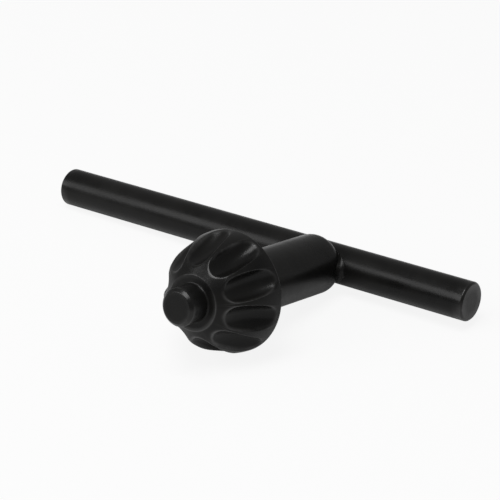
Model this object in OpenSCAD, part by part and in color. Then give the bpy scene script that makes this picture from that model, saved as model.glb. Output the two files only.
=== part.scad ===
// Drill chuck key: a bevel pinion with a pilot pin on a round shank, joined to an off-centre cross bar.
// It lies as it rests, with the cross bar along Y and the pilot raised: the rim of the pinion, the rear end of the
// shank and the long end of the bar touch the ground.

/* [Cross bar] */
// Diameter of the round cross bar
bar_d = 6.5; // [5:0.1:8]
// Length of the bar on its long side, from the axis of the key to the end
bar_long = 55; // [30:0.5:80]
// Length of the bar on its short side, from the axis of the key to the end
bar_short = 28; // [12:0.5:55]
// Size of the chamfer on each end of the bar
bar_chamfer = 0.3; // [0.1:0.05:1]

/* [Shank] */
// Diameter of the round shank
shank_d = 10; // [9:0.1:12]
// Distance from the axis of the cross bar to the back of the pinion
shank_reach = 26.3; // [16:0.1:60]
// Radius of the rounded rear end of the shank
shank_round = 2.6; // [1:0.1:3]
// Distance that the rear end of the shank reaches past the front of the bar
saddle_depth = 1.8; // [0.6:0.1:2.2]

/* [Pinion] */
// Largest diameter of the pinion, at its back rim
pinion_d = 19.5; // [18.5:0.1:22]
// Length of the pinion, from its back to the flat hub round the pilot
pinion_length = 10.1; // [9:0.1:11.5]
// Diameter of the flat hub round the pilot
hub_d = 8.8; // [8.2:0.1:9.6]
// Angle of the conical front to the axis of the pinion
front_angle = 56; // [50:1:62]
// Radius of the domed side of the pinion, seen from the side
dome_radius = 13.5; // [12.5:0.5:20]
// Size of the chamfer at the back rim
rim_chamfer = 0.4; // [0.1:0.05:0.8]

/* [Teeth] */
// Number of teeth on the pinion
tooth_count = 10; // [8:1:11]
// Angle of the first tooth space round the pinion
tooth_phase = 9; // [0:0.1:40]
// Distance from the axis to the floor of a tooth space, in the plane of the hub
root_at_hub = 5.6; // [5.3:0.05:6.1]
// Distance from the back of the pinion to the end of the tooth spaces
space_end = 0.9; // [0.5:0.05:1.5]
// Radius of the concave floor of a tooth space, seen from the side
sweep_radius = 13; // [12:0.5:30]
// Radius of the rounded section of a tooth space
space_radius = 2.3; // [1.8:0.05:2.4]

/* [Pilot] */
// Diameter of the pilot pin
pilot_d = 6; // [4:0.1:8]
// Length of the pilot pin in front of the hub
pilot_length = 4; // [2.5:0.1:10]
// Size of the chamfer on the end of the pilot pin
pilot_chamfer = 0.5; // [0.2:0.05:1]

/* [Hidden] */

// Smoothness of the round forms
round_fn = 96;
tooth_fn = 48;

bar_r = bar_d / 2;
shank_r = shank_d / 2;
pinion_r = pinion_d / 2;
hub_r = hub_d / 2;
pilot_r = pilot_d / 2;

// Stations along the axis of the key, from the axis of the cross bar
shank_rear = bar_r - saddle_depth;
hub_station = shank_reach + pinion_length;
pilot_tip = hub_station + pilot_length;

// Floor of a tooth space: an arc from the rim of the dome to the plane of the hub
end_r = pinion_r - dome_radius + sqrt(pow(dome_radius, 2) - pow(space_end, 2));
chord_run = pinion_length - space_end;
chord_rise = end_r - root_at_hub;
chord_angle = atan(chord_rise / chord_run);
chord_half = sqrt(pow(chord_run, 2) + pow(chord_rise, 2)) / 2;
sweep_offset = sqrt(pow(sweep_radius, 2) - pow(chord_half, 2));
sweep_r = (end_r + root_at_hub) / 2 + sweep_offset * cos(chord_angle);
sweep_station = (shank_reach + space_end + hub_station) / 2 + sweep_offset * sin(chord_angle);

// Pose at rest: the rim of the pinion and the rounded rear end of the shank touch the ground
rim_station = shank_reach + rim_chamfer;
round_station = shank_rear + shank_round;
rest_run = rim_station - round_station;
rest_drop = pinion_r - (shank_r - shank_round);
rest_tilt = atan(rest_drop / rest_run) - asin(shank_round / sqrt(pow(rest_run, 2) + pow(rest_drop, 2)));
rest_height = pinion_r * cos(rest_tilt) - rim_station * sin(rest_tilt);

// The key then rolls about its own axis until the long end of the bar touches the ground
foot_reach = bar_long - bar_chamfer;
bar_slope = asin(rest_height / sqrt(pow(foot_reach, 2) + pow(bar_r, 2))) - atan(bar_r / foot_reach);
rest_roll = asin(sin(bar_slope) / cos(rest_tilt));

// Middle of the footprint, so that the origin is at the bottom centre
bar_drift = sin(rest_tilt) * sin(rest_roll);
bar_back = (bar_short - bar_chamfer) * bar_drift + bar_r * sqrt(1 - pow(bar_drift, 2));
nose_x = pilot_tip * cos(rest_tilt) + (pilot_r - pilot_chamfer) * sin(rest_tilt);
shift_x = (bar_back - nose_x) / 2;
shift_y = (bar_long - bar_short) / 2 * cos(rest_roll);

// Forms are drawn with the axis of the key along Z and are turned into the pose at rest
module at_rest() {
    translate([shift_x, shift_y, rest_height])
        rotate([0, 90 - rest_tilt, 0])
            rotate([0, 0, rest_roll])
                children();
}

module bar_form() {
    rotate([90, 0, 0])
        translate([0, 0, -bar_short])
            union() {
                cylinder(r1 = bar_r - bar_chamfer, r2 = bar_r, h = bar_chamfer, $fn = round_fn);
                translate([0, 0, bar_chamfer])
                    cylinder(r = bar_r, h = bar_long + bar_short - 2 * bar_chamfer, $fn = round_fn);
                translate([0, 0, bar_long + bar_short - bar_chamfer])
                    cylinder(r1 = bar_r, r2 = bar_r - bar_chamfer, h = bar_chamfer, $fn = round_fn);
            }
}

// Half outline of the shank, with its rounded rear end
module shank_profile() {
    union() {
        translate([0, shank_rear])
            square([shank_r - shank_round, shank_round]);
        translate([0, shank_rear + shank_round])
            square([shank_r, shank_reach - shank_rear - shank_round]);
        intersection() {
            translate([shank_r - shank_round, shank_rear + shank_round])
                circle(r = shank_round, $fn = tooth_fn);
            translate([shank_r - shank_round, shank_rear])
                square([shank_round, shank_round]);
        }
    }
}

// Half outline of the pinion blank, with a domed side and a conical front
module pinion_profile() {
    intersection() {
        translate([pinion_r - dome_radius, shank_reach])
            circle(r = dome_radius, $fn = round_fn);
        polygon([
            [0, shank_reach],
            [pinion_r - rim_chamfer, shank_reach],
            [pinion_r, shank_reach + rim_chamfer],
            [pinion_r, hub_station - (pinion_r - hub_r) / tan(front_angle)],
            [hub_r, hub_station],
            [0, hub_station]
        ]);
    }
}

// One tooth space: the path of a round-edged cutting wheel that is swept across the blank
module space_cutter() {
    translate([sweep_r, 0, sweep_station])
        rotate([90, 0, 0])
            rotate_extrude($fn = round_fn)
                union() {
                    translate([0, -space_radius])
                        square([sweep_radius - space_radius, 2 * space_radius]);
                    intersection() {
                        translate([sweep_radius - space_radius, 0])
                            circle(r = space_radius, $fn = tooth_fn);
                        translate([sweep_radius - space_radius, -space_radius])
                            square([space_radius, 2 * space_radius]);
                    }
                }
}

module pinion_form() {
    difference() {
        rotate_extrude($fn = round_fn)
            pinion_profile();
        for (i = [0 : tooth_count - 1])
            rotate([0, 0, tooth_phase + i * 360 / tooth_count])
                space_cutter();
    }
}

module pilot_form() {
    translate([0, 0, hub_station])
        cylinder(r = pilot_r, h = pilot_length - pilot_chamfer, $fn = round_fn);
    translate([0, 0, pilot_tip - pilot_chamfer])
        cylinder(r1 = pilot_r, r2 = pilot_r - pilot_chamfer, h = pilot_chamfer, $fn = round_fn);
}

// Shank, pinion and pilot are one piece, with a half-round seat for the cross bar
module key_body() {
    color("dimgray")
        at_rest()
            difference() {
                union() {
                    rotate_extrude($fn = round_fn)
                        shank_profile();
                    pinion_form();
                    pilot_form();
                }
                rotate([90, 0, 0])
                    cylinder(r = bar_r, h = pinion_d, center = true, $fn = round_fn);
            }
}

module cross_bar() {
    color("gray")
        at_rest()
            bar_form();
}

key_body();
cross_bar();
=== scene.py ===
import bpy, bmesh, math
import numpy as np
from mathutils import Matrix, Vector


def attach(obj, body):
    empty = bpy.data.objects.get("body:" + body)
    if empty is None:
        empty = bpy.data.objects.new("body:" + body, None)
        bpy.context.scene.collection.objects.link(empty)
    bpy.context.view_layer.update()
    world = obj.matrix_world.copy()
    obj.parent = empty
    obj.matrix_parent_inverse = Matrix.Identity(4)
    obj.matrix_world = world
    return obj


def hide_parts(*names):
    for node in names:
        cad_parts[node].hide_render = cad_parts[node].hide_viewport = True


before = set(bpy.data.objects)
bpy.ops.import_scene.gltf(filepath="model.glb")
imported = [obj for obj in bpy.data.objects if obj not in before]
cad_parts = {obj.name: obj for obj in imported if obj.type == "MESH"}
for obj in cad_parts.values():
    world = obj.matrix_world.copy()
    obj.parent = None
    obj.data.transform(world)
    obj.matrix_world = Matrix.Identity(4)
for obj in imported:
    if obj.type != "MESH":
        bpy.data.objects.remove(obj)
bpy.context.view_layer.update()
scene = bpy.context.scene

# Sizes in millimetres, as in the part's source
BAR_R, BAR_LONG, BAR_SHORT, BAR_CHAMFER = 3.25, 55.0, 28.0, 0.3
SHANK_R, SHANK_REACH, SHANK_ROUND, SADDLE = 5.0, 26.3, 2.6, 1.8
PINION_R, PINION_LENGTH, HUB_R, FRONT_ANGLE = 9.75, 10.1, 4.4, math.radians(56)
DOME_R, RIM_CHAMFER = 13.5, 0.4
TEETH, TOOTH_PHASE, ROOT_AT_HUB, SPACE_END, SWEEP_R, SPACE_R = 10, math.radians(9), 5.6, 0.9, 13.0, 2.3
PILOT_R, PILOT_LENGTH, PILOT_CHAMFER = 3.0, 4.0, 0.5

# Sizes of the skins alone, in millimetres
AXIS = 0.01                                        # radius at which an end is closed by a point
LIP_ROUND = 0.35                                   # rounding of the lips of the tooth spaces
LIP_WEAR, EDGE_WEAR, HUB_WEAR = 0.16, 0.2, 0.12    # width of the rubbed bands
LONG_STEP, HEAD_STATIONS = 1.5, 118                # how finely the outlines are divided

HUB = SHANK_REACH + PINION_LENGTH
TIP = HUB + PILOT_LENGTH
REAR = BAR_R - SADDLE

# Pose at rest, worked out as in the part's source
rim = SHANK_REACH + RIM_CHAMFER
run, drop = rim - (REAR + SHANK_ROUND), PINION_R - (SHANK_R - SHANK_ROUND)
tilt = math.atan2(drop, run) - math.asin(SHANK_ROUND / math.hypot(run, drop))
height = PINION_R * math.cos(tilt) - rim * math.sin(tilt)
foot = BAR_LONG - BAR_CHAMFER
slope = math.asin(height / math.hypot(foot, BAR_R)) - math.atan2(BAR_R, foot)
roll = math.asin(math.sin(slope) / math.cos(tilt))
drift = math.sin(tilt) * math.sin(roll)
back = (BAR_SHORT - BAR_CHAMFER) * drift + BAR_R * math.sqrt(1 - drift * drift)
nose = TIP * math.cos(tilt) + (PILOT_R - PILOT_CHAMFER) * math.sin(tilt)
shift = Vector(((back - nose) / 2, (BAR_LONG - BAR_SHORT) / 2 * math.cos(roll), height))
# From the key's own frame (x to the pilot, y to the short end of the bar) to the row's frame, in metres
POSE = (Matrix.Scale(0.001, 4) @ Matrix.Translation(shift)
        @ Matrix.Rotation(-tilt, 4, "Y") @ Matrix.Rotation(roll, 4, "X"))


def soft_corners(points, steps=6):
    """Points are (x, r, radius of the corner). Returns the outline with its corners rounded."""
    out = []
    for i, (x, r, q) in enumerate(points):
        if i in (0, len(points) - 1) or q == 0:
            out.append((x, r))
            continue
        p = np.array([x, r])
        a, b = np.array(points[i - 1][:2]) - p, np.array(points[i + 1][:2]) - p
        a, b = a / np.linalg.norm(a), b / np.linalg.norm(b)
        half = math.acos(max(-1, min(1, float(a @ b)))) / 2
        cut = q / math.tan(half)
        mid = p + (a + b) / np.linalg.norm(a + b) * q / math.sin(half)
        s, e = p + a * cut - mid, p + b * cut - mid
        turn = math.atan2(s[0] * e[1] - s[1] * e[0], float(s @ e))
        for k in range(steps + 1):
            t = turn * k / steps
            out.append((mid[0] + s[0] * math.cos(t) - s[1] * math.sin(t),
                        mid[1] + s[0] * math.sin(t) + s[1] * math.cos(t)))
    return out


def resample(points, step):
    """Adds points so that no stretch of the outline is longer than step."""
    out = [points[0]]
    for p, q in zip(points, points[1:]):
        n = max(1, math.ceil(math.dist(p, q) / step))
        out += [(p[0] + (q[0] - p[0]) * k / n, p[1] + (q[1] - p[1]) * k / n) for k in range(1, n + 1)]
    return out


def surface(name, rings, wear, material):
    """A closed skin through rings of points, in the key's frame, with its ends closed by a point.
    A ring may have a whole multiple of the points of its neighbour. wear tells, for each point of the rings,
    how far the finish is rubbed off there, from 0 to 1."""
    verts = np.vstack(rings + [rings[0].mean(axis=0), rings[-1].mean(axis=0)])
    low, high = len(verts) - 2, len(verts) - 1
    first = np.cumsum([0] + [len(r) for r in rings])
    faces = []
    for i in range(len(rings) - 1):
        a, b, na, nb = first[i], first[i + 1], len(rings[i]), len(rings[i + 1])
        small = min(na, nb)
        for k in range(small):
            lower = [a + (k * na // small + j) % na for j in range(na // small + 1)]
            upper = [b + (k * nb // small + j) % nb for j in range(nb // small + 1)]
            faces.append(tuple(int(v) for v in lower + upper[::-1]))
    n, top = len(rings[0]), int(first[-2])
    faces += [(low, (k + 1) % n, k) for k in range(n)]
    n = len(rings[-1])
    faces += [(high, top + k, top + (k + 1) % n) for k in range(n)]
    mesh = bpy.data.meshes.new(name)
    mesh.from_pydata([tuple(POSE @ Vector(v)) for v in verts.tolist()], [], faces)
    mesh.polygons.foreach_set("use_smooth", [True] * len(mesh.polygons))
    mesh.update()
    rubbed = mesh.attributes.new("wear", "FLOAT", "POINT")
    rubbed.data.foreach_set("value", np.concatenate([np.concatenate(wear), [0, 0]]).astype(np.float32))
    mesh.materials.append(material)
    piece = bpy.data.objects.new(name, mesh)
    scene.collection.objects.link(piece)
    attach(piece, "root")
    return piece


def smooth_min(a, b, k):
    """The lower of two heights, with the corner between them rounded over about k."""
    h = np.clip(0.5 + 0.5 * (b - a) / k, 0, 1)
    return b * (1 - h) + a * h - k * h * (1 - h)


# Path of the cutting wheel of a tooth space
end_r = PINION_R - DOME_R + math.sqrt(DOME_R ** 2 - SPACE_END ** 2)
chord_run, chord_rise = PINION_LENGTH - SPACE_END, end_r - ROOT_AT_HUB
chord_angle = math.atan2(chord_rise, chord_run)
sweep_offset = math.sqrt(SWEEP_R ** 2 - (math.hypot(chord_run, chord_rise) / 2) ** 2)
WHEEL_R = (end_r + ROOT_AT_HUB) / 2 + sweep_offset * math.cos(chord_angle)
WHEEL_X = (SHANK_REACH + SPACE_END + HUB) / 2 + sweep_offset * math.sin(chord_angle)


def space_floor(x, r, phi):
    """Radius of the floor of the nearest tooth space at station x and angle phi, for a blank of radius r."""
    pitch = 2 * math.pi / TEETH
    d = (phi - TOOTH_PHASE + pitch / 2) % pitch - pitch / 2
    out = r.copy()
    for _ in range(12):
        w = np.minimum(np.abs(out * np.sin(d)), SPACE_R * 0.999)
        edge = SWEEP_R - SPACE_R + np.sqrt(SPACE_R ** 2 - w ** 2)
        u = WHEEL_R - np.sqrt(np.maximum(edge ** 2 - (x - WHEEL_X) ** 2, 0.01))
        out = 0.5 * out + 0.5 * u / np.cos(d)
    return out


def edge_wear(points, edges, width):
    """How worn each point (x, r) of an outline is, from its distance to the nearest edge."""
    return [max(math.exp(-(math.dist(p, e) / width) ** 2) for e in edges) for p in points]


def build_body(material):
    coarse, fine = TEETH * 16, TEETH * 64
    ring = lambda x, r, phi: np.c_[np.full(len(phi), x), r * np.sin(phi), -r * np.cos(phi)]
    around = np.linspace(0, 2 * math.pi, coarse, endpoint=False)
    dense = np.linspace(0, 2 * math.pi, fine, endpoint=False)
    arc = [(REAR + SHANK_ROUND * (1 - math.cos(t)), SHANK_R - SHANK_ROUND + SHANK_ROUND * math.sin(t), 0)
           for t in np.linspace(0.1, math.pi / 2, 12)]
    behind = soft_corners([(REAR, AXIS, 0), (REAR, SHANK_R - SHANK_ROUND, 0)] + arc
                          + [(SHANK_REACH, SHANK_R, 0.5), (SHANK_REACH, PINION_R - RIM_CHAMFER, 0.25),
                             (rim, PINION_R, 0)])
    ahead = soft_corners([(HUB - 0.5, HUB_R + 0.5 * math.tan(FRONT_ANGLE), 0), (HUB, HUB_R, 0.25),
                          (HUB, PILOT_R, 0.3), (TIP - PILOT_CHAMFER, PILOT_R, 0.25),
                          (TIP, PILOT_R - PILOT_CHAMFER, 0.2), (TIP, AXIS, 0)])[1:]
    behind, ahead = resample(behind, LONG_STEP), resample(ahead, 0.6)
    edges = [(SHANK_REACH, PINION_R - RIM_CHAMFER), (rim, PINION_R), (HUB, HUB_R),
             (TIP - PILOT_CHAMFER, PILOT_R), (TIP, PILOT_R - PILOT_CHAMFER)]
    rings = [ring(x, r, around) for x, r in behind]
    wear = [np.full(coarse, w) for w in edge_wear(behind, edges, EDGE_WEAR)]
    # the toothed side: blank and floor of the tooth spaces on a grid, with the lips between them rounded
    xs = np.linspace(rim, ahead[0][0], HEAD_STATIONS)[1:-1]
    dome = PINION_R - DOME_R + np.sqrt(DOME_R ** 2 - (xs - SHANK_REACH) ** 2)
    cone = HUB_R + (HUB - xs) * math.tan(FRONT_ANGLE)
    blank = smooth_min(dome, cone, 0.25)[:, None] * np.ones(fine)
    floor_r = np.array([space_floor(x, row, dense) for x, row in zip(xs, blank)])
    depth = blank - floor_r
    slope_x = np.gradient(depth, xs, axis=0)
    slope_p = (np.roll(depth, -1, axis=1) - np.roll(depth, 1, axis=1)) / (2 * blank * (dense[1] - dense[0]))
    lip = np.exp(-((depth / np.sqrt(1 + slope_x ** 2 + slope_p ** 2) - 0.02) / LIP_WEAR) ** 2)
    rounded = smooth_min(blank, floor_r, LIP_ROUND)
    for x, r, w, row in zip(xs, rounded, lip, blank):
        rings.append(ring(x, r, dense))
        wear.append(np.maximum(w, edge_wear([(x, row[0])], edges, HUB_WEAR)[0]))
    rings += [ring(x, r, around) for x, r in ahead]
    wear += [np.full(coarse, w) for w in edge_wear(ahead, edges, HUB_WEAR)]
    return surface("key_body_skin", rings, wear, material)


def build_bar(material):
    n = 128
    a = np.linspace(0, 2 * math.pi, n, endpoint=False)
    line = soft_corners([(-BAR_LONG, AXIS, 0), (-BAR_LONG, BAR_R - BAR_CHAMFER, 0.18),
                         (BAR_CHAMFER - BAR_LONG, BAR_R, 0.3), (BAR_SHORT - BAR_CHAMFER, BAR_R, 0.3),
                         (BAR_SHORT, BAR_R - BAR_CHAMFER, 0.18), (BAR_SHORT, AXIS, 0)])
    line = resample(line, LONG_STEP)
    edges = [(-BAR_LONG, BAR_R - BAR_CHAMFER), (BAR_CHAMFER - BAR_LONG, BAR_R),
             (BAR_SHORT - BAR_CHAMFER, BAR_R), (BAR_SHORT, BAR_R - BAR_CHAMFER)]
    rings = [np.c_[r * np.cos(a), np.full(n, y), -r * np.sin(a)] for y, r in line]
    wear = [np.full(n, w) for w in edge_wear(line, edges, EDGE_WEAR)]
    return surface("cross_bar_skin", rings, wear, material)


def build_weld(material):
    """The fillet of the weld where the shank meets the bar, thickest at the two sides."""
    def shank_r(x):
        short = REAR + SHANK_ROUND - x
        return SHANK_R if short < 0 else SHANK_R - SHANK_ROUND + math.sqrt(max(0, SHANK_ROUND ** 2 - short ** 2))

    n, m = 180, 9
    rings = [[] for _ in range(m)]
    for k in range(n):
        phi = 2 * math.pi * k / n
        low, high = REAR, BAR_R
        for _ in range(40):
            x = (low + high) / 2
            inside_bar = x ** 2 + (shank_r(x) * math.cos(phi)) ** 2 < BAR_R ** 2
            low, high = (x, high) if inside_bar else (low, x)
        side = abs(math.sin(phi))
        size = 0.12 + 1.05 * side ** 8 + 0.05 * math.sin(5 * phi + 1) * side
        on_shank = x + size
        p = lambda t, phi=phi: Vector((t, shank_r(t) * math.sin(phi), -shank_r(t) * math.cos(phi)))
        corner, start = p(x), p(on_shank)
        out = corner + Vector((0, math.sin(phi), -math.cos(phi))) * size
        flat = math.hypot(out.x, out.z)
        end = Vector((out.x * BAR_R / flat, out.y, out.z * BAR_R / flat))
        along = (p(on_shank) - p(on_shank + 0.02)).normalized()
        normal = Vector((end.x, 0, end.z)).normalized()
        reach = (end - start).dot(normal) / along.dot(normal)
        knee = start + along * min(max(reach, 0), 2 * size)
        for i in range(m):
            t = i / (m - 1)
            q = start * (1 - t) ** 2 + knee * 2 * t * (1 - t) + end * t ** 2
            rings[i].append(tuple(q))
    # the strip is closed through the metal, so that it is a solid bead
    inner = [tuple(Vector(a) * 0.5 + Vector(b) * 0.5 - Vector((0.5, 0, 0))) for a, b in zip(rings[0], rings[-1])]
    loops = [np.array(r) for r in rings] + [np.array(inner)]
    verts = [tuple(POSE @ Vector(v)) for v in np.vstack(loops).tolist()]
    count = len(loops)
    faces = [(i * n + k, i * n + (k + 1) % n, (i + 1) % count * n + (k + 1) % n, (i + 1) % count * n + k)
             for i in range(count) for k in range(n)]
    mesh = bpy.data.meshes.new("weld_fillet")
    mesh.from_pydata(verts, [], faces)
    mesh.polygons.foreach_set("use_smooth", [True] * len(mesh.polygons))
    bm = bmesh.new()
    bm.from_mesh(mesh)
    bmesh.ops.recalc_face_normals(bm, faces=bm.faces)
    bm.to_mesh(mesh)
    bm.free()
    mesh.materials.append(material)
    piece = bpy.data.objects.new("weld_fillet", mesh)
    scene.collection.objects.link(piece)
    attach(piece, "root")


class Nodes:
    """Short hand for making and joining shader nodes."""

    def __init__(self, name):
        self.material = bpy.data.materials.new(name)
        self.material.use_nodes = True
        self.tree = self.material.node_tree
        self.shader = self.tree.nodes["Principled BSDF"]

    def add(self, kind, inputs=(), **settings):
        node = self.tree.nodes.new(kind)
        for key, value in settings.items():
            setattr(node, key, value)
        for key, value in dict(inputs).items():
            self.put(value, node.inputs[key])
        return node

    def put(self, value, socket):
        if isinstance(value, bpy.types.NodeSocket):
            self.tree.links.new(value, socket)
        else:
            socket.default_value = value

    def ramp(self, value, stops):
        node = self.add("ShaderNodeValToRGB", {"Fac": value})
        while len(node.color_ramp.elements) < len(stops):
            node.color_ramp.elements.new(0.5)
        for element, (place, level) in zip(node.color_ramp.elements, stops):
            element.position = place
            element.color = (level, level, level, 1) if np.isscalar(level) else (*level, 1)
        return node.outputs["Color"]


def black_steel(name, seed):
    m = Nodes(name)
    place = m.add("ShaderNodeTexCoord").outputs["Object"]
    moved = m.add("ShaderNodeMapping", {"Vector": place, "Location": (seed, seed * 0.7, -seed)}).outputs["Vector"]
    noise = lambda scale, detail, rough: m.add("ShaderNodeTexNoise", {
        "Vector": moved, "Scale": scale, "Detail": detail, "Roughness": rough}).outputs["Fac"]
    patch, grain = noise(130.0, 6.0, 0.6), noise(2600.0, 3.0, 0.65)
    wear = m.add("ShaderNodeAttribute", attribute_name="wear").outputs["Fac"]
    spot = m.ramp(patch, [(0.4, 0.15), (0.65, 1.0)])
    worn = m.add("ShaderNodeMath", {0: wear, 1: spot}, operation="MULTIPLY").outputs[0]
    tone = m.ramp(patch, [(0.3, (0.003, 0.003, 0.0029)), (0.75, (0.0078, 0.0075, 0.007))])
    rubbed = (0.013, 0.0125, 0.012, 1)
    colour = m.add("ShaderNodeMix", {"Factor": worn, "A": tone, "B": rubbed}, data_type="RGBA")
    m.put(colour.outputs[2], m.shader.inputs["Base Color"])
    rough = m.ramp(patch, [(0.3, 0.24), (0.72, 0.37)])
    m.put(rough, m.shader.inputs["Roughness"])
    low = m.add("ShaderNodeBump", {"Height": patch, "Strength": 0.2, "Distance": 0.0004})
    fine = m.add("ShaderNodeBump", {"Height": grain, "Strength": 0.15, "Distance": 0.00006,
                                    "Normal": low.outputs["Normal"]})
    m.put(fine.outputs["Normal"], m.shader.inputs["Normal"])
    m.shader.inputs["Metallic"].default_value = 0.0
    gloss = m.add("ShaderNodeMapRange", {"Value": worn, "To Min": 0.17, "To Max": 0.75}).outputs[0]
    m.put(gloss, m.shader.inputs["Specular IOR Level"])
    m.material.diffuse_color = (0.02, 0.02, 0.02, 1)
    return m.material


body = build_body(black_steel("black_steel_body", 0.31))
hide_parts("key_body")
bar = build_bar(black_steel("black_steel_bar", 0.83))
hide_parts("cross_bar")
build_weld(black_steel("black_steel_weld", 1.4))

# Floor
floor_mesh = bpy.data.meshes.new("floor")
floor_mesh.from_pydata([(-3, -3, 0), (3, -3, 0), (3, 3, 0), (-3, 3, 0)], [], [(0, 1, 2, 3)])
floor = bpy.data.objects.new("floor", floor_mesh)
scene.collection.objects.link(floor)
f = Nodes("pale_floor")
f.shader.inputs["Base Color"].default_value = (0.7, 0.7, 0.7, 1)
f.shader.inputs["Roughness"].default_value = 0.9
f.shader.inputs["Specular IOR Level"].default_value = 0.0
path = f.add("ShaderNodeLightPath")
gleam = f.add("ShaderNodeMath", {0: path.outputs["Is Glossy Ray"], 1: 0.2}, operation="MULTIPLY").outputs[0]
share = f.add("ShaderNodeMath", {0: path.outputs["Is Camera Ray"], 1: 0.88, 2: gleam},
              operation="MULTIPLY_ADD").outputs[0]
white = f.add("ShaderNodeEmission", {"Color": (1, 1, 1, 1), "Strength": 1.0}).outputs[0]
both = f.add("ShaderNodeMixShader", {0: share, 1: f.shader.outputs[0], 2: white}).outputs[0]
out = [n for n in f.tree.nodes if n.type == "OUTPUT_MATERIAL"][0]
f.tree.links.new(both, out.inputs["Surface"])
floor_mesh.materials.append(f.material)

# World: white to the camera, an even dim studio to the object
world = bpy.data.worlds.new("studio")
scene.world = world
world.use_nodes = True
t = world.node_tree
t.nodes.clear()
dim = t.nodes.new("ShaderNodeBackground")
dim.inputs["Color"].default_value = (0.25, 0.25, 0.25, 1)
clear = t.nodes.new("ShaderNodeBackground")
clear.inputs["Color"].default_value = (1, 1, 1, 1)
lp = t.nodes.new("ShaderNodeLightPath")
mix = t.nodes.new("ShaderNodeMixShader")
seen = t.nodes.new("ShaderNodeMath")
seen.operation = "MULTIPLY_ADD"
seen.inputs[1].default_value = 0.08
t.links.new(lp.outputs["Is Glossy Ray"], seen.inputs[0])
t.links.new(lp.outputs["Is Camera Ray"], seen.inputs[2])
t.links.new(seen.outputs[0], mix.inputs[0])
t.links.new(dim.outputs[0], mix.inputs[1])
t.links.new(clear.outputs[0], mix.inputs[2])
o = t.nodes.new("ShaderNodeOutputWorld")
t.links.new(mix.outputs[0], o.inputs[0])


def softbox(name, place, aim, width, depth, power):
    lamp = bpy.data.lights.new(name, "AREA")
    lamp.shape, lamp.size, lamp.size_y, lamp.energy = "RECTANGLE", width, depth, power
    thing = bpy.data.objects.new(name, lamp)
    thing.location = place
    thing.rotation_euler = (Vector(aim) - Vector(place)).to_track_quat("-Z", "Y").to_euler()
    scene.collection.objects.link(thing)


softbox("side_light", (0.536, -0.375, 0.425), (0, 0, 0), 0.5, 0.4, 2.3)
softbox("top_light", (0.26, 0.06, 0.76), (0, 0, 0), 0.4, 0.4, 4.6)

# Camera, fitted to the photograph's outline
cam = bpy.data.cameras.new("camera")
camera = bpy.data.objects.new("camera", cam)
scene.collection.objects.link(camera)
scene.camera = camera
cam.sensor_width, cam.lens = 36.0, 152.45
cam.clip_start, cam.clip_end = 0.02, 20.0
eye, aim = Vector((0.23975, 0.19049, 0.16121)), Vector((-0.01117, 0.00336, 0.006))
look = (aim - eye).to_track_quat("-Z", "Y").to_matrix().to_4x4()
camera.matrix_world = Matrix.Translation(eye) @ look @ Matrix.Rotation(math.radians(-0.93), 4, "Z")

scene.view_settings.view_transform = "Standard"
